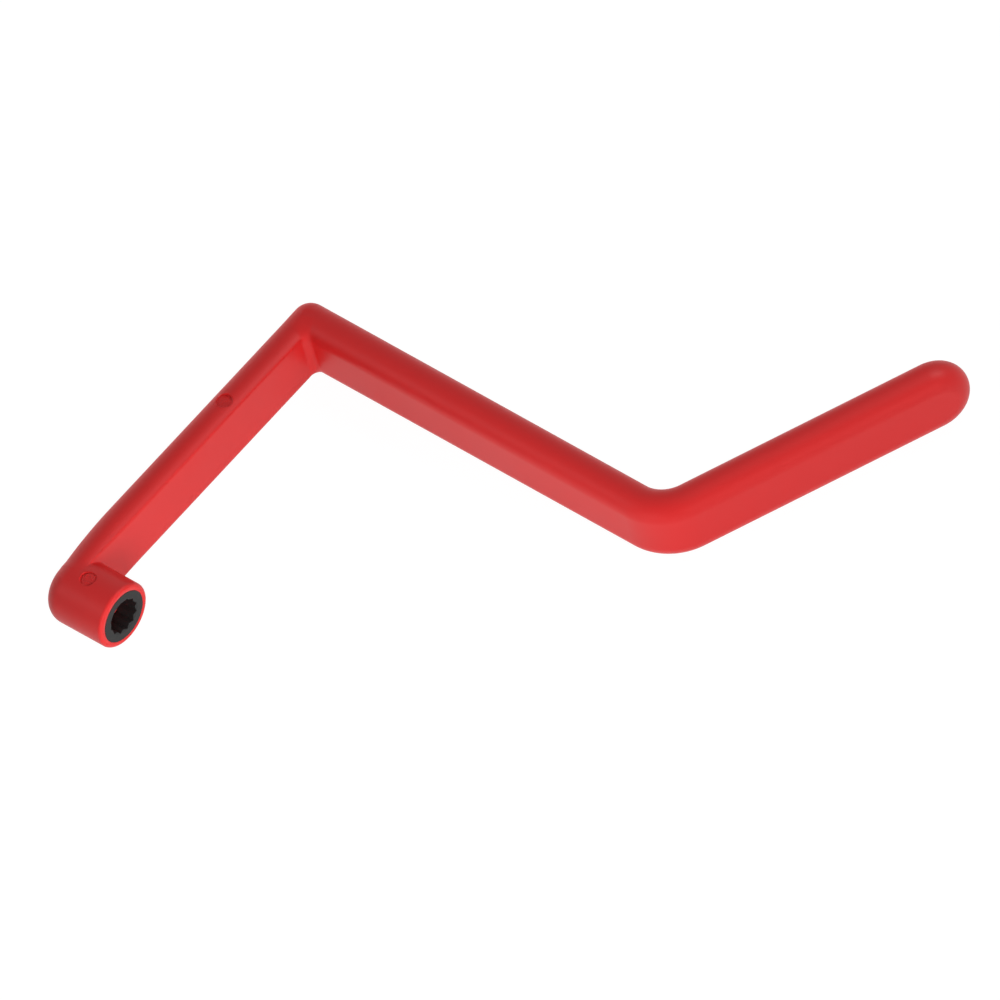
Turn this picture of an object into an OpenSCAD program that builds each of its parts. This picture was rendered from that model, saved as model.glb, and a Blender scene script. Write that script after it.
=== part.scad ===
// Insulated cranked socket wrench. A twelve-point steel socket sits on a flat steel core that is mitred
// once and bent once, and a seamless moulded cover insulates all of it except the socket's mouth.
// The origin is the centre of the socket's mouth. +X runs out of the mouth along the socket's axis,
// +Y runs up the arm away from the socket, and +Z is square to the plane of the bends.

/* [Socket] */
// Size of the nut across its flats
nut_af = 12; // [10:0.5:13]
// Play between the nut and the flats of the drive
drive_play = 0.15; // [0.05:0.05:0.3]
// Depth of the twelve-point drive from the mouth
drive_depth = 7.9; // [5:0.1:10]
// How far the lead-in cone reaches beyond the points of the drive
lead_in = 0.1; // [0.05:0.05:0.5]
// Angle of the lead-in cone to the face
lead_in_angle = 30; // [20:1:45]
// Outside diameter of the socket
socket_d = 20; // [19:0.5:22]
// Radial room that the broach has behind the corners of the drive
broach_relief = 0.4; // [0.2:0.1:0.8]
// Thickness of the socket's base, between the relief bore and the shoulder
base_t = 3; // [2:0.5:4]
// Diameter of the spigot that goes through the eye of the arm
spigot_d = 14; // [12:0.5:15]
// Diameter of the hole through the base and the spigot
keyhole_d = 8; // [6:0.5:9]
// Bevel on the outer edge of the socket's face
face_bevel = 0.1; // [0.1:0.1:0.5]

/* [Insulating cover] */
// Thickness of the moulded cover over the steel
coat = 2.5; // [2:0.1:2.8]
// Gap left where the moulding shrinks off the steel
shrink_gap = 0.1; // [0.05:0.05:0.2]
// Length of the head, from the mouth to its back
head_len = 28; // [26:0.5:29.5]
// Rounding of the rim round the mouth
rim_round = 1.4; // [1:0.1:2.4]
// Diameter of the round recesses for the mould marks
mark_d = 6; // [4:0.5:8]
// Depth of the head's recess
head_mark_depth = 0.8; // [0.4:0.1:1.2]
// Depth of the arm's recess, in the crown of the arm
arm_mark_depth = 1.1; // [0.8:0.1:1.5]
// Distance of the head's recess from the mouth
head_mark_x = 13.6; // [10:0.1:15]
// Distance of the arm's recess from the mouth, along the socket's axis
arm_mark_x = 23; // [21:0.1:24]
// Distance of the arm's recess from the socket's axis, along the arm
arm_mark_y = 86; // [40:1:110]

/* [Arm] */
// Distance from the mouth to the face of the arm
arm_face = 18; // [16:0.1:19]
// Thickness of the covered arm
arm_t = 12; // [11:0.5:14]
// Width of the covered arm, a little less than the head's diameter
arm_w = 24.8; // [22:0.1:24.8]
// Distance from the socket's axis to the middle of the middle bar
arm_len = 131.2; // [110:0.1:180]
// Rounding of the arm's back edges, which runs on over the crown of the arm to its face
arm_back_round = 7; // [6.5:0.1:7]
// Rounding of the edges between that crown and the face
arm_front_round = 2.4; // [1:0.1:3.5]
// Length over which the arm thins towards the head
neck_len = 29.5; // [20:0.5:50]
// How far the head stands proud of the end of the neck
neck_step = 0.2; // [0.1:0.1:1]

/* [Middle bar and handle] */
// Width of the covered bar, square to the plane of the bends
bar_w = 28; // [26:0.5:34]
// Thickness of the covered bar, which has full-round edges
bar_t = 14; // [12.5:0.5:16]
// Length of the middle bar between the corner points of its centre line
bar_len = 163; // [120:1:220]
// How far the round end of the middle bar stops short of the arm's back
corner_inset = 1; // [0.5:0.1:2]
// How far the round end of the arm stops short of the middle bar's back
arm_inset = 0.2; // [0.1:0.1:1]
// Fillet in the inside corner of the arm and the middle bar
corner_fillet = 3; // [1:0.5:4]
// Radius of the second bend at the centre line
bend_r = 17; // [14:0.5:30]
// Angle through which the second bend turns
bend_angle = 65.7; // [40:0.1:80]
// Length of the handle from the corner point of its centre line to its tip
handle_len = 118.8; // [80:0.1:160]
// Step all round where the bend runs into the handle, too small to see
handle_step = 0.03; // [0.03:0.01:0.3]

/* [Welds] */
// Width of the weld in the mitre of the arm and the middle bar
mitre_weld = 3; // [2:0.5:4]
// Leg of the ring weld round the spigot
spigot_weld = 2; // [1:0.5:2.5]
// Play of the spigot in the eye of the arm
spigot_play = 0.1; // [0.05:0.05:0.2]

/* [Hidden] */
$fn = 96;
cover_red = [0.78, 0.16, 0.16];
socket_grey = [0.25, 0.25, 0.26];
core_grey = [0.55, 0.56, 0.58];
weld_grey = [0.42, 0.43, 0.45];

// Overlap given to a cut so that it passes its face
past = 1;
// Facets of a full turn of the neck's long arc
neck_fn = 384;
// How far the flare in the inside corner stays in from the arm's edges, and how deep it is rooted
flare_set_in = 1.2;
flare_root = 4;
// Length of the handle that is set into the end of the bend
handle_seat = 0.5;
// Edge radius of the steel arm's face, where the cover's rounding is used up by its thickness
core_edge = 0.4;

// Socket
drive_flat_r = (nut_af + drive_play) / 2;
drive_corner_r = drive_flat_r / cos(30);
lead_in_r = drive_corner_r + lead_in;
lead_in_depth = (lead_in_r - drive_flat_r) * tan(lead_in_angle);
relief_d = 2 * (drive_corner_r + broach_relief);
shoulder_x = arm_face + coat;
relief_end = shoulder_x - base_t;
spigot_end = head_len - coat;

// Cover and core share these: each form below is drawn at an inset from the outside of the cover
head_d = socket_d + 2 * coat;
arm_back = arm_face + arm_t;
neck_drop = arm_back - head_len + neck_step;
neck_r = (neck_len * neck_len + neck_drop * neck_drop) / (2 * neck_drop);

// Corner: where the straight of the middle bar begins, and where the straight of the arm ends
corner_x = bar_t / 2 - arm_back + corner_inset;
arm_top = arm_len + bar_t / 2 - arm_back_round - arm_inset;

// Second bend: its tangent length, its centre and the straight of the handle
axis_x = arm_t / 2 - arm_back;
bend_tangent = bend_r * tan(bend_angle / 2);
bend_x = axis_x + bar_len - bend_tangent;
bend_y = arm_len + bend_r;
handle_straight = handle_len - bend_tangent - bar_w / 2 + handle_step;

// Mitre of the steel: from the inside corner of the core to its outside corner
mitre_in = [-arm_face - coat, arm_len - bar_t / 2 + coat];
mitre_out = [-arm_back + coat, arm_len + bar_t / 2 - coat];
mitre_angle = atan2(mitre_out[1] - mitre_in[1], mitre_out[0] - mitre_in[0]);
mitre_block = arm_len + bar_len + handle_len;

// Flat section with half-round edges, long along the second axis
module stadium(width, thick) {
    square([thick, width - thick], center = true);
    for (side = [-1, 1]) translate([0, side * (width - thick) / 2]) circle(d = thick);
}

// Right half of a flat section with half-round edges, for turning about the second axis
module half_stadium(width, thick) {
    intersection() {
        stadium(width, thick);
        translate([0, -width]) square([width, 2 * width]);
    }
}

// Rectangle with rounded corners, from the first axis outwards and centred on the second
module rounded(length, width, radius) {
    translate([0, radius - width / 2]) square([length, width - 2 * radius]);
    translate([radius, -width / 2]) square([length - 2 * radius, width]);
    for (x = [radius, length - radius], side = [-1, 1])
        translate([x, side * (width / 2 - radius)]) circle(r = radius);
}

// Section with one radius on its two low edges and another on its two high edges, along the first axis
module edged_section(low, high, width, low_r, high_r) {
    intersection() {
        translate([low, 0]) rounded(2 * (high - low), width, low_r);
        translate([2 * low - high, 0]) rounded(2 * (high - low), width, high_r);
    }
}

// Two sections whose overlap is the arm: a crown with half-round edges, here centred on the first axis, and
// a block that ends in the arm's face
module crown_section(inset) {
    stadium(arm_w - 2 * inset, 2 * (arm_back_round - inset));
}
module face_section(inset) {
    translate([-arm_face - inset - 2 * arm_t, 0])
        rounded(2 * arm_t, arm_w - 2 * inset, max(arm_front_round - inset, core_edge));
}

// Carry a section that is drawn as across and up along +X, or along +Y, between two places
module along_x(from, to) {
    translate([from, 0, 0]) rotate([90, 0, 90]) linear_extrude(to - from) children();
}
module along_y(from, to) {
    translate([0, to, 0]) rotate([90, 0, 0]) linear_extrude(to - from) children();
}

// Turn a profile that is drawn as radius and distance behind the mouth about the socket's axis
module about_socket() {
    rotate([0, -90, 0]) rotate_extrude() children();
}

// Arm beyond its neck, and its neck, where the back and the crown run in an arc to the head
module arm_form(inset) {
    arm_straight(inset);
    intersection() {
        along_y(0, neck_len) face_section(inset);
        translate([neck_r - arm_back, neck_len, 0]) rotate([0, 0, 180])
            rotate_extrude(angle = 2 * asin(neck_len / neck_r), $fn = neck_fn)
                translate([neck_r - arm_back_round, 0]) crown_section(inset);
    }
}

// Straight of the arm, from its neck to its round end at the corner
module arm_straight(inset) {
    along_y(neck_len, arm_top) intersection() {
        translate([arm_back_round - arm_back, 0]) crown_section(inset);
        face_section(inset);
    }
    translate([arm_back_round - arm_back, arm_top, 0]) rotate([0, 0, 90])
        rotate_extrude(angle = 90) half_stadium(arm_w - 2 * inset, 2 * (arm_back_round - inset));
}

// Half outline of a disc with a sharp front edge and a rounded back edge, as radius and distance
module disc_outline(front, back, radius, back_r) {
    translate([0, front]) square([radius, back - back_r - front]);
    translate([0, front]) square([radius - back_r, back - front]);
    intersection() {
        translate([radius - back_r, back - back_r]) circle(r = back_r);
        translate([0, front]) square([radius, back - front]);
    }
}

// Half outline of the arm's round end about the socket's axis
module eye_outline(inset) {
    disc_outline(arm_face + inset, head_len - inset, head_d / 2 - inset, arm_back_round - inset);
}

// Head of the cover: a cylinder with a rounded rim and a rounded back
module head_form() {
    radius = head_d / 2;
    about_socket() {
        translate([0, rim_round]) disc_outline(0, head_len - rim_round, radius, arm_back_round);
        square([radius - rim_round, 2 * rim_round]);
        translate([radius - rim_round, rim_round]) circle(r = rim_round);
    }
}

// Middle bar as far as the second bend, with its round end at the corner
module bar_start(inset) {
    width = bar_w - 2 * inset;
    thick = bar_t - 2 * inset;
    translate([corner_x, arm_len, 0]) rotate([0, 0, 90])
        rotate_extrude(angle = 180) half_stadium(width, thick);
    translate([0, arm_len, 0]) along_x(corner_x, bend_x) stadium(width, thick);
}

// Middle bar, the second bend, and the handle with its round tip
module bar_form(inset) {
    width = bar_w - 2 * inset;
    thick = bar_t - 2 * inset;
    handle_w = width - 2 * handle_step;
    handle_t = thick - 2 * handle_step;
    bar_start(inset);
    translate([bend_x, bend_y, 0]) {
        rotate([0, 0, -90]) rotate_extrude(angle = bend_angle) translate([bend_r, 0]) stadium(width, thick);
        rotate([0, 0, bend_angle]) translate([0, -bend_r, 0]) {
            along_x(-handle_seat, handle_straight) stadium(handle_w, handle_t);
            translate([handle_straight, 0, 0]) rotate([90, 0, 0]) rotate([0, 0, -90])
                rotate_extrude(angle = 180) rotate([0, 0, -90]) intersection() {
                    stadium(handle_w, handle_t);
                    translate([-handle_t, 0]) square([2 * handle_t, handle_w]);
                }
        }
    }
}

// Fillet in the inside corner: a flare round the middle bar that fades out at the arm's edges
module corner_flare() {
    half = (bar_w - bar_t) / 2;
    difference() {
        intersection() {
            translate([0, arm_len, 0]) along_x(-arm_face - flare_root, corner_fillet - arm_face)
                stadium(bar_w + 2 * corner_fillet, bar_t + 2 * corner_fillet);
            along_y(arm_len - bar_t, arm_len)
                edged_section(-arm_back + flare_root, corner_fillet - arm_face + past, arm_w - 2 * flare_set_in,
                              flare_root, 2 * flare_root);
        }
        translate([corner_fillet - arm_face, arm_len, 0]) {
            translate([0, -bar_t / 2 - corner_fillet, -half]) cylinder(r = corner_fillet, h = 2 * half);
            for (side = [0, 1]) mirror([0, 0, side]) translate([0, 0, half])
                rotate([0, -90, 0]) rotate([0, 0, -90]) rotate_extrude(angle = 180)
                    translate([bar_t / 2 + corner_fillet, 0]) circle(r = corner_fillet);
        }
    }
}

// Round recess in the top of the cover, down to a floor
module mark_recess(x, y, floor_z) {
    translate([-x, y, floor_z]) cylinder(d = mark_d, h = head_d);
}

// Outline of the twelve-point drive: two hexagons, a corner of one up the arm
module twelve_point() {
    for (turn = [0, 30]) rotate(turn) circle(r = drive_corner_r, $fn = 6);
}

// One side of the mitre, from the given distance off its plane; side is 1 for the middle bar's side
module mitre_side(side, off) {
    translate([mitre_in[0], mitre_in[1], 0]) rotate([0, 0, mitre_angle - 90])
        translate([side > 0 ? off : -off - mitre_block, -mitre_block / 2, -mitre_block / 2])
            cube(mitre_block);
}

// Steel of the arm and of the bar, each on its own side of the mitre
module arm_core(inset, off) {
    difference() {
        union() {
            arm_form(inset);
            about_socket() eye_outline(inset);
        }
        mitre_side(1, -off);
    }
}
module bar_core(inset, off) {
    difference() {
        bar_form(inset);
        mitre_side(-1, -off);
    }
}

// Everything that the socket fills, bores and all, drawn larger by a gap
module socket_body(gap) {
    about_socket() {
        square([socket_d / 2 + gap, shoulder_x + gap]);
        square([spigot_d / 2 + gap, spigot_end + gap]);
    }
}

// Plug of moulded plastic that closes the drive and keys the cover to the socket
module bore_plug(gap) {
    about_socket() {
        translate([0, drive_depth]) square([relief_d / 2 - gap, relief_end - gap - drive_depth]);
        translate([0, drive_depth]) square([keyhole_d / 2 - gap, spigot_end + past - drive_depth]);
    }
}

module insulating_cover() {
    color(cover_red) {
        difference() {
            union() {
                head_form();
                arm_form(0);
                bar_form(0);
                corner_flare();
            }
            socket_body(shrink_gap);
            arm_core(coat - shrink_gap, -mitre_weld);
            bar_core(coat - shrink_gap, -mitre_weld);
            mark_recess(head_mark_x, 0, head_d / 2 - head_mark_depth);
            mark_recess(arm_mark_x, arm_mark_y, arm_w / 2 - arm_mark_depth);
        }
        bore_plug(shrink_gap);
    }
}

module socket() {
    color(socket_grey) difference() {
        socket_body(0);
        translate([-drive_depth, 0, 0]) rotate([0, 90, 0]) linear_extrude(drive_depth + past) twelve_point();
        about_socket() {
            translate([0, drive_depth]) square([relief_d / 2, relief_end - drive_depth]);
            square([keyhole_d / 2, spigot_end + past]);
            polygon([[0, 0], [lead_in_r, 0], [drive_flat_r, lead_in_depth], [0, lead_in_depth]]);
            polygon([[socket_d / 2 - face_bevel, 0], [socket_d / 2, face_bevel],
                     [socket_d / 2 + past, face_bevel], [socket_d / 2 + past, -past],
                     [socket_d / 2 - face_bevel, -past]]);
        }
    }
}

module arm_bar() {
    color(core_grey) difference() {
        arm_core(coat, mitre_weld / 2);
        about_socket() {
            square([spigot_d / 2 + spigot_play, head_len]);
            weld_profile();
        }
    }
}

module handle_bar() {
    color(core_grey) bar_core(coat, mitre_weld / 2);
}

// Ring weld in the countersink of the eye, ground flush with its back, as radius and distance
module weld_profile() {
    intersection() {
        polygon([[spigot_d / 2, spigot_end - spigot_weld], [spigot_d / 2 + spigot_weld, spigot_end],
                 [spigot_d / 2, spigot_end]]);
        eye_outline(coat);
    }
}
module socket_weld() {
    color(weld_grey) about_socket() weld_profile();
}

module corner_weld() {
    color(weld_grey) {
        difference() {
            arm_straight(coat);
            mitre_side(1, 0);
            mitre_side(-1, mitre_weld / 2);
        }
        difference() {
            bar_start(coat);
            mitre_side(-1, 0);
            mitre_side(1, mitre_weld / 2);
        }
    }
}

insulating_cover();
socket();
arm_bar();
handle_bar();
socket_weld();
corner_weld();
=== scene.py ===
"""Insulated cranked socket wrench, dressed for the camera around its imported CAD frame."""

import bpy
import numpy as np
from mathutils import Matrix, Vector


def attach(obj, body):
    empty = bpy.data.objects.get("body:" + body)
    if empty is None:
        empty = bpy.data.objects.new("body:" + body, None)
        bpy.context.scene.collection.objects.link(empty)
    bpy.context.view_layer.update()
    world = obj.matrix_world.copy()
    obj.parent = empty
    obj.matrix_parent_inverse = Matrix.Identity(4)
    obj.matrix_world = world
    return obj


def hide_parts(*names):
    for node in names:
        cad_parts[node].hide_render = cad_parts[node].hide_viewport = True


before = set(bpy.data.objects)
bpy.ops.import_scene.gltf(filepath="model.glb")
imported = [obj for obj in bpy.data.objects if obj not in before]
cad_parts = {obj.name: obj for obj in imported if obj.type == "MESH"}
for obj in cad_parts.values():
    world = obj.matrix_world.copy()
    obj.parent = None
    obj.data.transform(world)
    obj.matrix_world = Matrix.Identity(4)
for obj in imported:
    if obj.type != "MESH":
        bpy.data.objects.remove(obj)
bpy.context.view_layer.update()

# Steel core. Two flat bars carry the torque inside the cover: the arm, with a round eye for the socket's
# spigot, and the bar of the middle stretch and the handle, bent once while hot. Both keep the mill scale
# of the rolling, because they are moulded in and never seen.
SCALE_BLUE, SCALE_GREY = "#3a3f47", "#5b5d60"
SCALE_PATCH_MM, SCALE_SPECK_MM, SCALE_FLAKE_MM = 9.0, 0.8, 0.05
MM = 0.001


def linear(code):
    """An sRGB hex colour as linear values with full alpha."""
    c = np.array([int(code[i:i + 2], 16) for i in (1, 3, 5)]) / 255
    return (*np.where(c <= 0.04045, c / 12.92, ((c + 0.055) / 1.055) ** 2.4).tolist(), 1.0)


def new_material(name):
    """A node material of that name with an empty tree, and the tree."""
    material = bpy.data.materials.new(name)
    material.use_nodes = True
    material.node_tree.nodes.clear()
    return material, material.node_tree


def add(tree, kind, settings=(), **links):
    """A node with its settings, and its inputs, by name or as i and a number, set or linked."""
    node = tree.nodes.new(kind)
    for key, value in dict(settings).items():
        setattr(node, key, value)
    for key, value in links.items():
        socket = node.inputs[int(key[1:]) if key[1:].isdigit() else key.replace("_", " ")]
        if isinstance(value, bpy.types.NodeSocket):
            tree.links.new(value, socket)
        else:
            socket.default_value = value
    return node


def dress(names, material):
    """Gives the CAD nodes of those names a material in place of their own."""
    for name in names:
        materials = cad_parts[name].data.materials
        materials.clear()
        materials.append(material)


# Hot rolled steel under mill scale: blue-grey skin with greyer patches where it flaked, half metallic
mill_scale, tree = new_material("hot_rolled_steel_with_mill_scale")
place = add(tree, "ShaderNodeTexCoord").outputs["Object"]
patches = add(tree, "ShaderNodeTexNoise", Vector=place, Scale=1 / (SCALE_PATCH_MM * MM), Detail=6.0)
specks = add(tree, "ShaderNodeTexNoise", Vector=place, Scale=1 / (SCALE_SPECK_MM * MM), Detail=2.0)
skin = add(tree, "ShaderNodeMix", {"data_type": "RGBA"}, i0=patches.outputs["Fac"],
           i6=linear(SCALE_BLUE), i7=linear(SCALE_GREY))
dull = add(tree, "ShaderNodeMapRange", Value=patches.outputs["Fac"], To_Min=0.62, To_Max=0.42)
flakes = add(tree, "ShaderNodeBump", Height=specks.outputs["Fac"], Strength=0.3, Distance=SCALE_FLAKE_MM * MM)
shader = add(tree, "ShaderNodeBsdfPrincipled", Base_Color=skin.outputs[2], Metallic=0.6,
             Roughness=dull.outputs["Result"], Normal=flakes.outputs["Normal"])
add(tree, "ShaderNodeOutputMaterial", Surface=shader.outputs["BSDF"])
dress(("arm_bar", "handle_bar"), mill_scale)

# Welds. A ring of weld metal ground flush holds the spigot in the eye, and another weld fills the mitre of
# the two bars. Both were laid by hand and dressed with a disc, so their scratches run one way.
WELD_BRIGHT, WELD_HEAT = "#8d8b88", "#6a625a"
WELD_HEAT_MM, GRIT_MM, GRIT_STRETCH, GROOVE_MM = 4.0, 0.25, 12.0, 0.02

# Ground weld metal: bright grey with brownish heat clouds and long fine scratches of the grinding disc
ground_weld, tree = new_material("weld_metal_ground_flush")
place = add(tree, "ShaderNodeTexCoord").outputs["Object"]
heat = add(tree, "ShaderNodeTexNoise", Vector=place, Scale=1 / (WELD_HEAT_MM * MM), Detail=3.0)
along = add(tree, "ShaderNodeMapping", Vector=place, Scale=(1.0, 1 / GRIT_STRETCH, 1.0))
scratches = add(tree, "ShaderNodeTexNoise", Vector=along.outputs["Vector"], Scale=1 / (GRIT_MM * MM),
                Detail=2.0)
tint = add(tree, "ShaderNodeMix", {"data_type": "RGBA"}, i0=heat.outputs["Fac"],
           i6=linear(WELD_BRIGHT), i7=linear(WELD_HEAT))
dull = add(tree, "ShaderNodeMapRange", Value=scratches.outputs["Fac"], To_Min=0.28, To_Max=0.48)
grooves = add(tree, "ShaderNodeBump", Height=scratches.outputs["Fac"], Strength=0.25, Distance=GROOVE_MM * MM)
shader = add(tree, "ShaderNodeBsdfPrincipled", Base_Color=tint.outputs[2], Metallic=1.0,
             Roughness=dull.outputs["Result"], Normal=grooves.outputs["Normal"])
add(tree, "ShaderNodeOutputMaterial", Surface=shader.outputs["BSDF"])
dress(("socket_weld", "corner_weld"), ground_weld)

# Socket. A ring turned from bar steel and broached with a twelve-point drive for a 12 mm nut, with a cone
# to lead the nut in, then phosphated. Its spigot goes through the eye of the arm and is welded there.
SOCKET_R, FACE_BEVEL, SPIGOT_R, KEYHOLE_R = 10.0, 0.1, 7.0, 4.0
DRIVE_FLAT_R, DRIVE_DEPTH, BORE_ROWS = 6.075, 7.9, 14
LEAD_IN_R, LEAD_IN_SLOPE = 7.115, np.tan(np.radians(30))
RELIEF_R, RELIEF_END, SHOULDER, SPIGOT_END = 7.415, 17.5, 20.5, 25.5
POINTS, COLUMNS_PER_POINT, BLUNT, EDGE_BREAK = 12, 24, 0.992, 0.04
POINT_TURN, RIDGE_TURN = np.radians(30), np.radians(15)
# The last colour is painted shade for the deep walls of the drive, not a colour of the coat
PHOSPHATE, PHOSPHATE_WORN, BORE_PAINTED_SHADE = "#303030", "#363636", "#222121"
TURNING_MM, TURNING_DEEP_MM, CRYSTAL_MM = 0.5, 0.02, 0.3
BORE_SHADE_FROM_MM, BORE_SHADE_AT_MM = 0.02, 0.08

# A wave texture of scale 1 repeats after this length
WAVE_PERIOD = np.pi / 10


def drive_outline(angle):
    """Radius of the drive: the flats of two hexagons, as flat radius over the cosine of the turn from the
    middle of a flat. A blunted triangle wave of the angle swings that turn between the ridges, where the
    hexagons cross, and the points, so neither is keen."""
    wave = np.arcsin(BLUNT * np.cos(POINTS * angle)) / np.arcsin(BLUNT)
    return DRIVE_FLAT_R / np.cos(POINT_TURN - (POINT_TURN - RIDGE_TURN) / 2 * (1 - wave))


def softened(corners, radius, count=4):
    """A profile whose inner corners are broken: each becomes a parabola of count points, which starts and
    ends at radius from it."""
    corners = np.asarray(corners, float)
    before, at, after = corners[:-2], corners[1:-1], corners[2:]
    back, ahead = before - at, after - at
    start = at + radius * back / np.linalg.norm(back, axis=1, keepdims=True)
    end = at + radius * ahead / np.linalg.norm(ahead, axis=1, keepdims=True)
    t = np.linspace(0, 1, count)[None, :, None]
    arcs = start[:, None] * (1 - t) ** 2 + at[:, None] * 2 * t * (1 - t) + end[:, None] * t ** 2
    return np.concatenate([corners[:1], arcs.reshape(-1, 2), corners[-1:]])


def turned(x, radius, angle):
    """Rows of points about the socket's axis: a place along X and a radius for each row or each point."""
    radius = np.broadcast_to(radius, (len(x), len(angle)))
    return np.stack([np.broadcast_to(x[:, None], radius.shape), radius * np.cos(angle),
                     radius * np.sin(angle)], 2)


def grid_index(rows):
    """The numbers of the points in rows, as a grid."""
    return np.arange(rows[..., 0].size).reshape(rows.shape[:2])


def grid_faces(index):
    """Quads between the rows of an index grid, whose columns close on themselves."""
    following = np.roll(index, -1, axis=1)
    return np.stack([index[:-1], index[1:], following[1:], following[:-1]], 2).reshape(-1, 4)


def make_piece(name, shells, material):
    """A smooth mesh of shells, each its points in millimetres and its blocks of faces, on the wrench."""
    starts = np.cumsum([0] + [len(points) for points, _ in shells])
    points = np.concatenate([points for points, _ in shells])
    blocks = [block + start for (_, faces), start in zip(shells, starts) for block in faces]
    used, new = np.unique(np.concatenate([block.ravel() for block in blocks]), return_inverse=True)
    ends = np.cumsum([block.size for block in blocks])[:-1]
    faces = [part.reshape(block.shape).tolist() for part, block in zip(np.split(new, ends), blocks)]
    mesh = bpy.data.meshes.new(name)
    mesh.from_pydata((points[used] * MM).tolist(), [], sum(faces, []))
    mesh.polygons.foreach_set("use_smooth", np.ones(len(mesh.polygons), bool))
    mesh.materials.append(material)
    piece = bpy.data.objects.new(name, mesh)
    bpy.context.scene.collection.objects.link(piece)
    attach(piece, "root")
    return piece


# Phosphated steel: a dull grey-black crystal coat over faint rings that the lathe left on the face, both
# drawn coarser than they are so that they show. On the drive's walls, past the cone, the coat is darkened
# to near black: painted shade that stands in for the shadow deep in the bore
phosphate, tree = new_material("phosphated_steel_with_painted_bore_shade")
place = add(tree, "ShaderNodeTexCoord").outputs["Object"]
crystals = add(tree, "ShaderNodeTexNoise", Vector=place, Scale=1 / (CRYSTAL_MM * MM), Detail=3.0)
rings = add(tree, "ShaderNodeTexWave",
            {"wave_type": "RINGS", "rings_direction": "X", "wave_profile": "SIN"},
            Vector=place, Scale=WAVE_PERIOD / (TURNING_MM * MM), Distortion=0.4, Detail=1.0)
coat_colour = add(tree, "ShaderNodeMix", {"data_type": "RGBA"}, i0=crystals.outputs["Fac"],
                  i6=linear(PHOSPHATE), i7=linear(PHOSPHATE_WORN))
depth = add(tree, "ShaderNodeSeparateXYZ", Vector=place).outputs["X"]
cone = add(tree, "ShaderNodeMath", {"operation": "MULTIPLY_ADD"}, i0=depth, i1=1 / LEAD_IN_SLOPE,
           i2=LEAD_IN_R * MM)
across = add(tree, "ShaderNodeVectorMath", {"operation": "MULTIPLY"}, i0=place, i1=(0, 1, 1))
off_axis = add(tree, "ShaderNodeVectorMath", {"operation": "LENGTH"}, i0=across.outputs["Vector"])
within = add(tree, "ShaderNodeMath", {"operation": "MINIMUM"}, i0=off_axis.outputs["Value"],
             i1=LEAD_IN_R * MM)
past_cone = add(tree, "ShaderNodeMath", {"operation": "SUBTRACT"}, i0=within.outputs[0], i1=cone.outputs[0])
# Painted shade: just past the cone the drive's walls turn near black, standing in for the shadow in the bore
painted_bore_shade = add(tree, "ShaderNodeMapRange", Value=past_cone.outputs[0], From_Min=BORE_SHADE_FROM_MM * MM,
              From_Max=BORE_SHADE_AT_MM * MM)
coat_and_bore_shade = add(tree, "ShaderNodeMix", {"data_type": "RGBA"}, i0=painted_bore_shade.outputs["Result"],
                  i6=coat_colour.outputs[2], i7=linear(BORE_PAINTED_SHADE))
dull = add(tree, "ShaderNodeMapRange", Value=crystals.outputs["Fac"], To_Min=0.55, To_Max=0.75)
tool_marks = add(tree, "ShaderNodeBump", Height=rings.outputs["Fac"], Strength=0.06,
                 Distance=TURNING_DEEP_MM * MM)
shader = add(tree, "ShaderNodeBsdfPrincipled", Base_Color=coat_and_bore_shade.outputs[2], Metallic=0.2,
             Roughness=dull.outputs["Result"], Normal=tool_marks.outputs["Normal"], Specular_IOR_Level=0.25)
add(tree, "ShaderNodeOutputMaterial", Surface=shader.outputs["BSDF"])

socket_turn = 2 * np.pi * np.arange(POINTS * COLUMNS_PER_POINT) / (POINTS * COLUMNS_PER_POINT)
drive = drive_outline(socket_turn)
hollow = softened([(-SPIGOT_END, KEYHOLE_R), (-RELIEF_END, KEYHOLE_R), (-RELIEF_END, RELIEF_R),
                   (-DRIVE_DEPTH - EDGE_BREAK, RELIEF_R), (-DRIVE_DEPTH, RELIEF_R - EDGE_BREAK)],
                  EDGE_BREAK / 2)
lead_in_depth = (LEAD_IN_R - drive.min()) * LEAD_IN_SLOPE
bore_x = np.concatenate([np.linspace(-DRIVE_DEPTH, -lead_in_depth, BORE_ROWS),
                         np.linspace(-lead_in_depth, 0, BORE_ROWS)[1:-1]])
bore_r = np.maximum(drive, LEAD_IN_R + bore_x[:, None] / LEAD_IN_SLOPE)
outside = softened([(bore_x[-1], LEAD_IN_R + bore_x[-1] / LEAD_IN_SLOPE), (0.0, LEAD_IN_R),
                    (0.0, SOCKET_R - FACE_BEVEL), (-FACE_BEVEL, SOCKET_R),
                    (-SHOULDER, SOCKET_R), (-SHOULDER, SPIGOT_R), (-SPIGOT_END, SPIGOT_R),
                    (-SPIGOT_END, KEYHOLE_R)], EDGE_BREAK)[1:-1]
socket_rows = np.concatenate([turned(hollow[:, 0], hollow[:, 1:], socket_turn),
                              turned(bore_x, bore_r, socket_turn),
                              turned(outside[:, 0], outside[:, 1:], socket_turn)])
socket_index = grid_index(socket_rows)
socket_faces = grid_faces(np.concatenate([socket_index, socket_index[:1]]))
socket = make_piece("drive_socket", [(socket_rows.reshape(-1, 3), [socket_faces])], phosphate)
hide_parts("socket")

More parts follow.
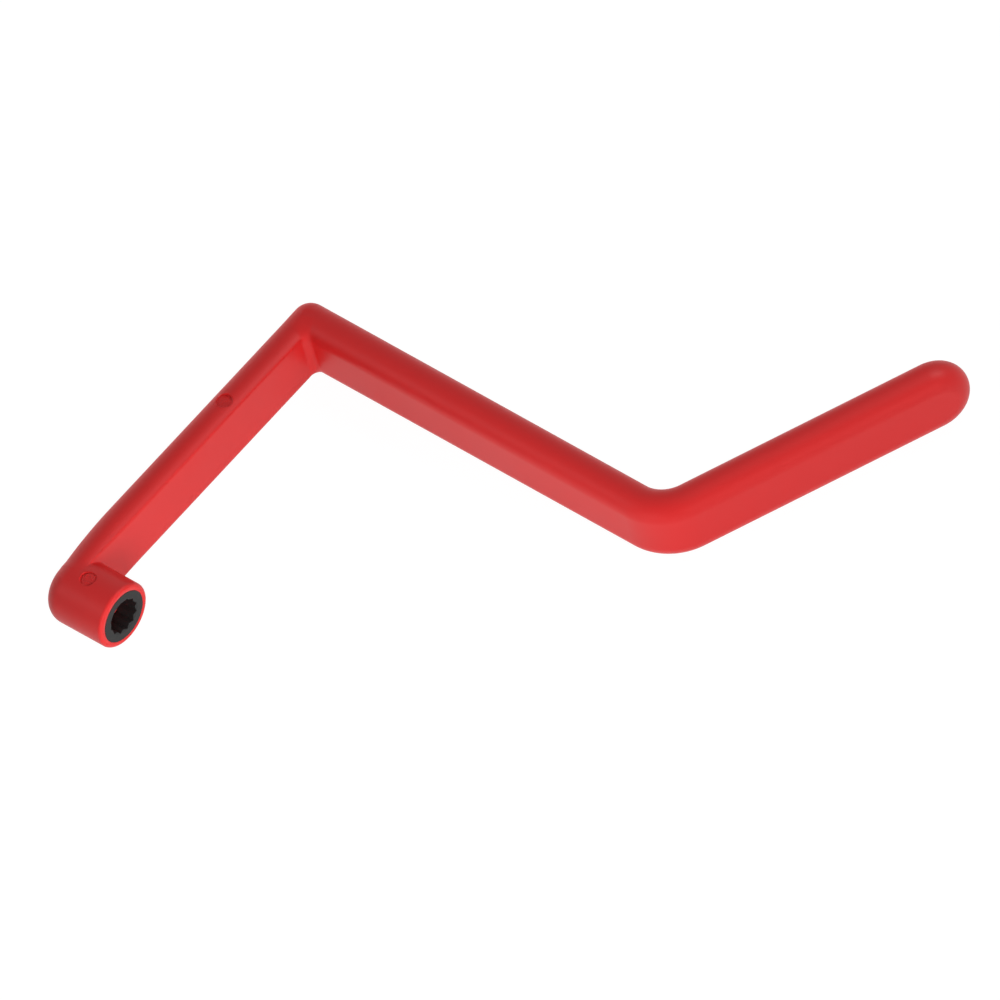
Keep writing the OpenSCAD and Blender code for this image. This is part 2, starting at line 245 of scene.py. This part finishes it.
# Insulating cover. One shot of red polyamide moulded over the core, seamless from the rim of the head to
# the tip of the handle. Rings of points follow the core, and each point lies where a ray from the ring's
# centre leaves the moulding, first inside, along the steel, and then outside.
HEAD_R, HEAD_LEN, RIM_ROUND = 12.5, 28.0, 1.4
MOUTH_R, LIP = 10.03, 0.05
COAT_INSIDE, SHY = 2.4, 0.05
ARM_FACE, ARM_BACK, ARM_HALF_W, ARM_TOP = 18.0, 30.0, 12.4, 131.0
BACK_ROUND, FACE_ROUND = 7.0, 0.2
NECK_LEN, NECK_DROP = 29.5, 2.2
BAR_Y, BAR_R, BAR_FLAT, BAR_START = 131.2, 7.0, 7.0, -22.0
BEND_R, BEND_TURN, BEND_CORNER_X, HANDLE_LEN = 17.0, np.radians(65.7), 139.0, 118.8
CORNER_FILLET, FADE_FROM, FADE_OVER = 3.0, 0.5, 10.0
HEAD_FILLET, NO_FILLET = 0.6, 1e-6
BEND_TANGENT = BEND_R * np.tan(BEND_TURN / 2)
BEND_AT = np.array([BEND_CORNER_X - BEND_TANGENT, BAR_Y + BEND_R])
HANDLE_AXIS = np.array([np.cos(BEND_TURN), np.sin(BEND_TURN)])
HANDLE_OUT = np.array([np.sin(BEND_TURN), -np.cos(BEND_TURN)])
HANDLE_FROM = BEND_AT + BEND_R * HANDLE_OUT
HANDLE_STRAIGHT = HANDLE_LEN - BEND_TANGENT - BAR_R - BAR_FLAT
RAY_REACH, HALVINGS = 19.0, 34
RED, RED_CLOUD = "#d82626", "#dc2828"
CLOUD_MM, GRAIN_MM, GRAIN_DEEP_MM = 22.0, 0.4, 0.1


def edge(u, v, radius):
    """Distance to the corner of two half spaces, u < 0 and v < 0, rounded by radius."""
    a, b = u + radius, v + radius
    return np.hypot(np.maximum(a, 0), np.maximum(b, 0)) + np.minimum(np.maximum(a, b), 0) - radius


def joined(a, b, radius):
    """Union of two distances with a round fillet of radius in the angle between them."""
    near = np.hypot(np.maximum(radius - a, 0), np.maximum(radius - b, 0))
    return np.maximum(radius, np.minimum(a, b)) - near


def moulding(p):
    """Distance in millimetres from points to the outside of the cover, negative inside the plastic.

    The head is a cylinder about X. The arm is a flat bar with full-round edges cut to a flat face, whose
    back runs in an arc down to the head. The bar, bend and handle are a flat ribbon with full-round edges,
    too. The fillet between arm and ribbon fades out towards the outside of the corner, and stands nowhere
    past the ribbon's width. All of it lies shy of the CAD skin by a hair.
    """
    x, y, z = p[..., 0], p[..., 1], np.abs(p[..., 2])
    radius = np.hypot(y, z)
    head = np.maximum(edge(x, radius - HEAD_R, RIM_ROUND), edge(-HEAD_LEN - x, radius - HEAD_R, BACK_ROUND))

    neck_r = (NECK_LEN ** 2 + NECK_DROP ** 2) / (2 * NECK_DROP)
    back = neck_r - ARM_BACK - np.sqrt(neck_r ** 2 - np.clip(NECK_LEN - y, 0, 2 * NECK_LEN) ** 2)
    across = np.hypot(x - back - BACK_ROUND, np.maximum(y - ARM_TOP, 0))
    crown = np.hypot(across, np.maximum(z - ARM_HALF_W + BACK_ROUND, 0)) - BACK_ROUND
    arm = np.maximum(edge(crown, x + ARM_FACE, FACE_ROUND), -y)

    flat = np.maximum(z - BAR_FLAT, 0)
    bar = np.hypot(np.hypot(x - np.clip(x, BAR_START, BEND_AT[0]), y - BAR_Y), flat) - BAR_R
    turn = np.arctan2(x - BEND_AT[0], BEND_AT[1] - y)
    bend = np.hypot(np.hypot(x - BEND_AT[0], y - BEND_AT[1]) - BEND_R, flat) - BAR_R
    bend = np.where((turn >= 0) & (turn <= BEND_TURN), bend, np.inf)
    along = (x - HANDLE_FROM[0]) * HANDLE_AXIS[0] + (y - HANDLE_FROM[1]) * HANDLE_AXIS[1]
    across = (x - HANDLE_FROM[0]) * HANDLE_OUT[0] + (y - HANDLE_FROM[1]) * HANDLE_OUT[1]
    tip = np.maximum(np.hypot(along - HANDLE_STRAIGHT, z) - BAR_FLAT, 0)
    handle = np.hypot(across, np.where(along > HANDLE_STRAIGHT, tip, flat)) - BAR_R
    handle = np.where(along >= 0, handle, np.inf)
    ribbon = np.minimum(np.minimum(bar, bend), handle)

    inside = np.clip((x - y + BAR_Y + ARM_BACK - FADE_FROM) / FADE_OVER, 0, 1)
    crank = joined(arm, ribbon, CORNER_FILLET * inside * inside * (3 - 2 * inside) + NO_FILLET)
    crank = np.maximum(crank, z - BAR_FLAT - BAR_R)
    return joined(head, crank, np.where(y > 0, HEAD_FILLET, NO_FILLET)) + SHY


def surface_along(start, direction, depth=0.0):
    """Where rays come within depth of the outside: the interval across it is halved until it is closed."""
    near, far = np.zeros(start.shape[:-1]), np.full(start.shape[:-1], RAY_REACH)
    for _ in range(HALVINGS):
        middle = (near + far) / 2
        within = moulding(start + middle[..., None] * direction) < -depth
        near, far = np.where(within, middle, near), np.where(within, far, middle)
    return start + near[..., None] * direction


def steps(*parts):
    """Places along a line from one value to the next in so many steps, without the very first."""
    return np.concatenate([np.linspace(low, high, count + 1)[1:] for low, high, count in parts])


def straight(start, way, places, look):
    """Rings along a line: their centres, start plus place times way, and how their column nought looks."""
    return np.asarray(start) + places[:, None] * np.asarray(way), np.tile(look, (len(places), 1))


def fan(pivot, angles, reaches, bulge):
    """Rings turning about a pivot beyond an inside corner, their centres swung out by bulge half way."""
    t = steps((0, 1, FAN_RINGS))
    angle = angles[0] + (angles[1] - angles[0]) * t
    way = np.stack([np.cos(angle), np.sin(angle)], 1)
    reach = reaches[0] + (reaches[1] - reaches[0]) * t + bulge * np.sin(np.pi * t)
    return pivot + reach[:, None] * way, -way


def capped(rows, poles):
    """Rows of points and a pole for each end: the points, and the faces of the grid and of both ends."""
    index = grid_index(rows)
    after = np.roll(index, -1, axis=1)
    near, far = np.full((2, index.shape[1]), [[index.size], [index.size + 1]])
    return np.concatenate([rows.reshape(-1, 3), poles]), [
        grid_faces(index), np.stack([near, index[0], after[0]], 1), np.stack([index[-1], far, after[-1]], 1)]


# Rings go back along the head, turn up into the arm, turn at the square corner into the bar, and follow the
# bend and the handle to its tip. Where the two marks are let in they lie evenly
HEAD_MARK, ARM_MARK = np.array([-13.6, 0.0]), np.array([-23.0, 86.0])
PATCH_HALF, PATCH_ROWS, PATCH_COLUMNS = 4.0, 18, 18
PIVOT_CLEAR, CORNER_BULGE, ARM_X, NECK_END = 0.4, 2.6, -24.0, 45.0
HEAD_RINGS, FAN_RINGS, NECK_RINGS, ARM_RINGS = 12, 90, 34, 8
BAR_RINGS, BEND_RINGS, HANDLE_RINGS, TIP_RINGS, RIM_RINGS = 24, 44, 20, 36, 12
COLUMNS, INNER_STEP, INNER_LEAST = 160, 4, 0.3
TIP_LEN = BAR_R + BAR_FLAT - SHY
HEAD_PIVOT = np.array([PIVOT_CLEAR - ARM_FACE, HEAD_R + PIVOT_CLEAR])
CORNER_PIVOT = np.array([CORNER_FILLET - ARM_FACE, BAR_Y - BAR_R - CORNER_FILLET])
head_start, head_near, head_far = -RIM_ROUND - SHY, HEAD_MARK[0] + PATCH_HALF, HEAD_MARK[0] - PATCH_HALF
arm_near, arm_far = ARM_MARK[1] - PATCH_HALF, ARM_MARK[1] + PATCH_HALF
head_x = np.append(head_start, steps((head_start, head_near, HEAD_RINGS), (head_near, head_far, PATCH_ROWS)))
arm_y = steps((HEAD_PIVOT[1], NECK_END, NECK_RINGS), (NECK_END, arm_near, ARM_RINGS),
              (arm_near, arm_far, PATCH_ROWS), (arm_far, CORNER_PIVOT[1], ARM_RINGS))
bar_x = steps((CORNER_PIVOT[0], BEND_AT[0], BAR_RINGS))
bend_angle = steps((0, BEND_TURN, BEND_RINGS))
bend_way = np.stack([np.sin(bend_angle), -np.cos(bend_angle)], 1)
tip_rows = HANDLE_STRAIGHT + TIP_LEN * np.sin(steps((0, np.pi / 2, TIP_RINGS))[:-1])
handle_rows = np.concatenate([steps((0, HANDLE_STRAIGHT, HANDLE_RINGS)), tip_rows])
stretches = [
    straight((0.0, 0.0), (1.0, 0.0), head_x, (0.0, 1.0)),
    fan(HEAD_PIVOT, (-np.pi / 2, -np.pi), (HEAD_PIVOT[1], HEAD_PIVOT[0] - ARM_X), 0.0),
    straight((ARM_X, 0.0), (0.0, 1.0), arm_y, (1.0, 0.0)),
    fan(CORNER_PIVOT, (np.pi, np.pi / 2), (CORNER_PIVOT[0] - ARM_X, BAR_Y - CORNER_PIVOT[1]), CORNER_BULGE),
    straight((0.0, BAR_Y), (1.0, 0.0), bar_x, (0.0, -1.0)),
    (BEND_AT + BEND_R * bend_way, bend_way),
    straight(HANDLE_FROM, HANDLE_AXIS, handle_rows, HANDLE_OUT),
]
centres, looks = (np.concatenate(part) for part in zip(*stretches))
column_turn = 2 * np.pi * np.arange(COLUMNS) / COLUMNS
rays = np.concatenate([looks[:, None, :] * np.cos(column_turn)[:, None],
                       np.broadcast_to(np.sin(column_turn)[:, None], (len(looks), COLUMNS, 1))], 2)
origins = np.broadcast_to(np.pad(centres, ((0, 0), (0, 1)))[:, None], rays.shape)
outer_rows = surface_along(origins, rays)
deep = moulding(origins[:, 0]) < -COAT_INSIDE - INNER_LEAST
inner_pick = np.flatnonzero(deep & (np.arange(len(centres)) >= len(head_x)))[::-INNER_STEP]
inner_rows = surface_along(origins[inner_pick], rays[inner_pick], COAT_INSIDE)

# The rim is turned, out of the pocket for the socket, over its lip and round to the outside of the head
rim_turn = np.linspace(0, np.pi / 2, RIM_RINGS)[:-1]
rim_r = np.concatenate([[MOUTH_R, MOUTH_R, MOUTH_R, MOUTH_R + LIP],
                        HEAD_R - SHY - RIM_ROUND * (1 - np.sin(rim_turn))])
rim_x = np.concatenate([[head_x[-1], head_x[-1] / 2, -LIP, 0], -RIM_ROUND * (1 - np.cos(rim_turn))]) - SHY
rows = np.concatenate([inner_rows, turned(rim_x, rim_r[:, None], column_turn), outer_rows])
pole_at = HANDLE_STRAIGHT + TIP_LEN - np.array([[COAT_INSIDE], [0.0]])
poles = np.pad(HANDLE_FROM + pole_at * HANDLE_AXIS, ((0, 0), (0, 1)))
cover_points, (cover_cells, *cover_faces) = capped(rows, poles)
index = grid_index(rows)
kept = np.ones((len(rows) - 1, COLUMNS), bool)

# Section of a recess from its edge to its middle: millimetres past its radius, share of the way down to the
# floor, and share of the way up again to the island
MARK_SECTION = np.array([
    (0.08, 0.02, 0), (0.03, 0.07, 0), (0.0, 0.16, 0), (-0.03, 0.55, 0), (-0.05, 0.9, 0), (-0.1, 1, 0),
    (-0.3, 1, 0), (-0.45, 1, 0.45), (-0.55, 1, 0.85), (-0.65, 1, 1), (-1.1, 1, 1), (-2.0, 1, 1)])
MARK_R, MARK_BRIM, BRIM_RINGS = 3.0, 0.14, 6
HEAD_FLOOR, HEAD_ISLAND, HEAD_COLUMN = 11.7, 12.0, 31
ARM_FLOOR, ARM_COLUMN = 11.3, 29


def sunk_mark(centre, floor, island, row, column):
    """A round recess where a block of the grid's cells makes way: its points and its faces. Rings go over
    the moulding from the block's border to the recess's brim, roll over the edge, go down the wall to the
    floor and close on an island, which stands in the floor or level with it."""
    last_row, last_column = row + PATCH_ROWS, column + PATCH_COLUMNS
    border = np.concatenate([index[row, column:last_column], index[row:last_row, last_column],
                             index[last_row, column + 1:last_column + 1][::-1],
                             index[row + 1:last_row + 1, column][::-1]])
    kept[row:last_row, column:last_column] = False
    offset = cover_points[border, :2] - centre
    far = np.hypot(offset[:, 0], offset[:, 1])
    brim = MARK_R + MARK_BRIM
    spread = np.linspace(1, 0, BRIM_RINGS + 1)[1:, None]
    radii = np.concatenate([brim + spread * (far - brim), MARK_R + MARK_SECTION[:, :1] + 0 * far])
    sunk, risen = np.pad(MARK_SECTION[:, 1:], ((BRIM_RINGS, 0), (0, 0))).T[..., None]
    under = np.pad(centre + radii[:, :, None] * (offset / far[:, None]), ((0, 0), (0, 0), (0, 1)))
    top = surface_along(under, np.broadcast_to([0.0, 0.0, 1.0], under.shape))
    top[..., 2] += sunk * (floor - top[..., 2]) + risen * (island - floor)
    first, pole = len(cover_points), len(cover_points) + top[..., 0].size
    rings = np.concatenate([border[None], first + grid_index(top)])
    close = np.stack([rings[-1], np.full(len(border), pole), np.roll(rings[-1], -1)], 1)
    return np.concatenate([top.reshape(-1, 3), [[*centre, island]]]), [grid_faces(rings), close]


first_outer = len(inner_rows) + len(rim_x)
head_row = first_outer + HEAD_RINGS
arm_row = first_outer + len(head_x) + FAN_RINGS + NECK_RINGS + ARM_RINGS - 1
for mark in ((HEAD_MARK, HEAD_FLOOR, HEAD_ISLAND, head_row, HEAD_COLUMN),
             (ARM_MARK, ARM_FLOOR, ARM_FLOOR, arm_row, ARM_COLUMN)):
    mark_points, mark_faces = sunk_mark(*mark)
    cover_points = np.concatenate([cover_points, mark_points])
    cover_faces += mark_faces
cover_faces.append(cover_cells.reshape(len(rows) - 1, COLUMNS, 4)[kept])

# Moulded polyamide, pigmented red: satin, with faint flow clouds in the pigment and the fine grain of a
# spark-eroded mould, which is drawn three times as coarse as the real one so that it shows
polyamide, tree = new_material("moulded_red_polyamide")
place = add(tree, "ShaderNodeTexCoord").outputs["Object"]
clouds = add(tree, "ShaderNodeTexNoise", Vector=place, Scale=1 / (CLOUD_MM * MM), Detail=3.0)
grain = add(tree, "ShaderNodeTexNoise", Vector=place, Scale=1 / (GRAIN_MM * MM), Detail=2.0)
pigment = add(tree, "ShaderNodeMix", {"data_type": "RGBA"}, i0=clouds.outputs["Fac"],
              i6=linear(RED), i7=linear(RED_CLOUD))
satin = add(tree, "ShaderNodeMapRange", Value=clouds.outputs["Fac"], To_Min=0.40, To_Max=0.48)
pits = add(tree, "ShaderNodeBump", Height=grain.outputs["Fac"], Strength=0.06, Distance=GRAIN_DEEP_MM * MM)
shader = add(tree, "ShaderNodeBsdfPrincipled", Base_Color=pigment.outputs[2], IOR=1.5,
             Roughness=satin.outputs["Result"], Normal=pits.outputs["Normal"], Specular_IOR_Level=0.35)
add(tree, "ShaderNodeOutputMaterial", Surface=shader.outputs["BSDF"])
cover = make_piece("cover_skin", [(cover_points, cover_faces)], polyamide)
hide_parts("insulating_cover")

# Drive plug. Plastic of the same shot that ran through the keyhole and filled the socket behind the drive,
# so that no live metal can be touched there. It closes the bore with a flat red floor.
PLUG_R, PLUG_BACK, PLUG_POLE_R = 7.3, 17.4, 0.5
PLUG_ROUND, PLUG_ROUND_ROWS = 0.3, 6
plug = softened([(-DRIVE_DEPTH, PLUG_POLE_R), (-DRIVE_DEPTH, PLUG_R), (-PLUG_BACK, PLUG_R),
                 (-PLUG_BACK, PLUG_POLE_R)], PLUG_ROUND, PLUG_ROUND_ROWS)
plug_rows = turned(plug[:, 0], plug[:, 1:], column_turn)
plug_shell = capped(plug_rows, [[-DRIVE_DEPTH, 0, 0], [-PLUG_BACK, 0, 0]])
make_piece("drive_plug", [plug_shell], polyamide)

# Mould marks. Beads of the cover's own plastic stand in its two recesses, because their strokes are cut into
# the mould: the nut size in millimetres on the head, and the plain twelve-part clock of a mould insert on the
# arm.
STROKE_R, STROKE_HIGH = 0.23, 0.2
NUMBER_TILT = np.radians(12)
ONE_AT, ONE_HIGH, ONE_FLAG = (-1.4, -0.45), 2.8, np.array([(-0.55, -0.6), (-0.1, -0.12)])
TWO_AT, TWO_WIDE, TWO_HIGH = (0.95, -0.2), 1.75, 3.2
BOW_SWEEP, BOW_POINTS = np.radians((165, -35)), 24
TICKS, TICK_FROM, TICK_TO, TICK_R, TICK_HIGH = 12, 2.0, 2.55, 0.16, 0.1
HAND_LEN, HAND_TICK = 1.3, 2
BEAD_ROWS, BEAD_CAP_ROWS, BEAD_COLUMNS = 33, 5, 16


def bead(path, floor, radius, high):
    """A raised stroke on a recess's floor: an ellipse of that radius and height carried along a path of
    flat places, which shrinks on a half circle past both ends; half of it lies in the floor."""
    path = np.asarray(path, float)
    run = np.append(0, np.cumsum(np.hypot(*np.diff(path, axis=0).T)))
    cap = radius * np.cos(steps((0, np.pi / 2, BEAD_CAP_ROWS))[:-1])
    at = np.concatenate([-cap, np.linspace(0, run[-1], BEAD_ROWS), run[-1] + cap[::-1]])
    inside = np.clip(at, 0, run[-1])
    past = at - inside
    middle = np.stack([np.interp(inside, run, line) for line in path.T], 1)
    way = np.stack([np.interp(inside, run, np.gradient(line, run)) for line in path.T], 1)
    way /= np.linalg.norm(way, axis=1, keepdims=True)
    sideways = np.stack([-way[:, 1], way[:, 0]], 1)
    size = np.sqrt(1 - (past / radius) ** 2)[:, None]
    around = 2 * np.pi * np.arange(BEAD_COLUMNS) / BEAD_COLUMNS
    spine = middle + past[:, None] * way
    flat = spine[:, None] + (radius * size * np.cos(around))[..., None] * sideways[:, None]
    rows = np.concatenate([flat, floor + (high * size * np.sin(around))[..., None]], 2)
    ends = np.stack([path[0] - radius * way[0], path[-1] + radius * way[-1]])
    points, faces = capped(rows, np.pad(ends, ((0, 0), (0, 1)), constant_values=floor))
    return points, [block[:, ::-1] for block in faces]


def on_head(places):
    """Places across and up the number, tilted and laid on the head: across runs up the arm, up runs back."""
    across, up = np.asarray(places, float).T
    u = across * np.cos(NUMBER_TILT) - up * np.sin(NUMBER_TILT)
    v = across * np.sin(NUMBER_TILT) + up * np.cos(NUMBER_TILT)
    return np.stack([HEAD_MARK[0] - v, HEAD_MARK[1] + u], 1)


one_top = np.array([0.0, ONE_HIGH / 2])
one_path = np.add(ONE_AT, [*(one_top + ONE_FLAG), one_top, 0 * one_top, -one_top])
two_half, two_r = TWO_HIGH / 2, TWO_WIDE / 2
sweep = np.linspace(*BOW_SWEEP, BOW_POINTS)
bow = np.stack([two_r * np.cos(sweep), two_half - two_r + two_r * np.sin(sweep)], 1)
two_path = np.add(TWO_AT, [*bow, (-two_r, -two_half)])
foot_path = np.add(TWO_AT, [(-two_r, -two_half), (0, -two_half), (two_r, -two_half)])
make_piece("size_number", [bead(on_head(path), HEAD_ISLAND, STROKE_R, STROKE_HIGH)
                           for path in (one_path, two_path, foot_path)], polyamide)
tick_turn = 2 * np.pi * np.arange(TICKS) / TICKS
tick_way = np.stack([np.cos(tick_turn), np.sin(tick_turn)], 1)
ticks = [ARM_MARK + np.array([[TICK_FROM], [TICK_TO]]) * way for way in tick_way]
hand = ARM_MARK + np.array([[-HAND_LEN], [HAND_LEN]]) * tick_way[HAND_TICK]
make_piece("mould_clock", [bead(path, ARM_FLOOR, TICK_R, TICK_HIGH) for path in [*ticks, hand]],
           polyamide)

# Studio. The camera looks square on, without perspective, from where the photograph was taken, at a pale
# floor on which the wrench lies flat. Four soft lamps and a dim sky light it, two boxes give its sheen, and
# the floor glows white.
RIGHT, UP = Vector((0.7548, 0.6306, -0.1802)), Vector((-0.4184, 0.6747, 0.6080))
TOWARD = Vector((0.505, -0.3835, 0.7731))
PX_PER_MM, ORIGIN_PX, FRAME_PX = 2.88, (124.1, 616.45), 1000
CAMERA_BACK, FLOOR_Z, FLOOR_HALF = 0.8, -14.1 * MM, 3.0
FLOOR_PALE, FLOOR_WHITE, FLOOR_SHADE = "#ededed", 1.1, 0.12
SKY, WHITE = 0.1, 1.0
AIM, LAMP_SIZE, NEAR_SIZE, BOX_SIZE = Vector((0.08, 0.12, 0.0)), 0.45, 0.15, 0.36
camera_data = bpy.data.cameras.new("camera")
camera_data.type = "ORTHO"
camera_data.ortho_scale = FRAME_PX / PX_PER_MM * MM
camera = bpy.data.objects.new("camera", camera_data)
bpy.context.scene.collection.objects.link(camera)
middle = (RIGHT * (FRAME_PX / 2 - ORIGIN_PX[0]) + UP * (ORIGIN_PX[1] - FRAME_PX / 2)) / PX_PER_MM * MM
basis = Matrix((RIGHT, UP, TOWARD)).transposed()
camera.matrix_world = Matrix.Translation(middle + TOWARD * CAMERA_BACK) @ basis.to_4x4()
bpy.context.scene.camera = camera


def ray_sees(tree):
    """One for rays from the camera, off gloss and through glass, and nought for light that bounces."""
    path = add(tree, "ShaderNodeLightPath").outputs
    sees = path["Is Camera Ray"]
    for kind in ("Is Glossy Ray", "Is Transmission Ray"):
        sees = add(tree, "ShaderNodeMath", {"operation": "MAXIMUM"}, i0=sees, i1=path[kind]).outputs[0]
    return sees


# Pale paper: matte to the light that bounces, and white to the camera and in reflections, but for a share
# of the matte paper, in which the shadow of the wrench stays
paper, tree = new_material("pale_floor_paper")
glow = add(tree, "ShaderNodeMath", {"operation": "MULTIPLY"}, i0=ray_sees(tree), i1=1 - FLOOR_SHADE)
matte = add(tree, "ShaderNodeBsdfDiffuse", Color=linear(FLOOR_PALE))
white = add(tree, "ShaderNodeEmission", Strength=FLOOR_WHITE)
either = add(tree, "ShaderNodeMixShader", Fac=glow.outputs[0], i1=matte.outputs["BSDF"],
             i2=white.outputs["Emission"])
add(tree, "ShaderNodeOutputMaterial", Surface=either.outputs["Shader"])
floor_mesh = bpy.data.meshes.new("floor")
floor_corners = np.array([(-1, -1), (1, -1), (1, 1), (-1, 1)]) * FLOOR_HALF
floor_mesh.from_pydata([(x, y, FLOOR_Z) for x, y in floor_corners.tolist()], [], [(0, 1, 2, 3)])
floor_mesh.materials.append(paper)
floor = bpy.data.objects.new("floor", floor_mesh)
bpy.context.scene.collection.objects.link(floor)

world = bpy.data.worlds.new("studio")
world.use_nodes = True
sky = world.node_tree.nodes["Background"]
sky.inputs["Color"].default_value = (1, 1, 1, 1)
level = add(world.node_tree, "ShaderNodeMapRange", Value=ray_sees(world.node_tree), To_Min=SKY, To_Max=WHITE)
world.node_tree.links.new(level.outputs["Result"], sky.inputs["Strength"])
bpy.context.scene.world = world

# The lamps that light the wrench show in no reflection, and the two boxes show only in its sheen
for name, place, size, watts, sheen in (
        ("key", (0.802, 0.057, 0.194), LAMP_SIZE, 2.4, False),
        ("near", (0.16, -0.12, 0.06), NEAR_SIZE, 0.34, False),
        ("back", (0.155, 0.544, 0.614), LAMP_SIZE, 1.58, False),
        ("side", (-0.644, 0.12, 0.194), LAMP_SIZE, 1.5, False),
        ("left_box", (-0.32, -0.44, 0.41), BOX_SIZE, 0.36, True),
        ("right_box", (0.45, 0.55, 0.62), BOX_SIZE, 1.2, True)):
    lamp_data = bpy.data.lights.new(name, "AREA")
    lamp_data.shape, lamp_data.size, lamp_data.energy = "DISK", size, watts
    lamp = bpy.data.objects.new(name, lamp_data)
    lamp.location, lamp.visible_glossy, lamp.visible_diffuse = place, sheen, not sheen
    lamp.rotation_euler = (Vector(place) - AIM).to_track_quat("Z", "Y").to_euler()
    bpy.context.scene.collection.objects.link(lamp)
bpy.context.scene.view_settings.view_transform = "Standard"
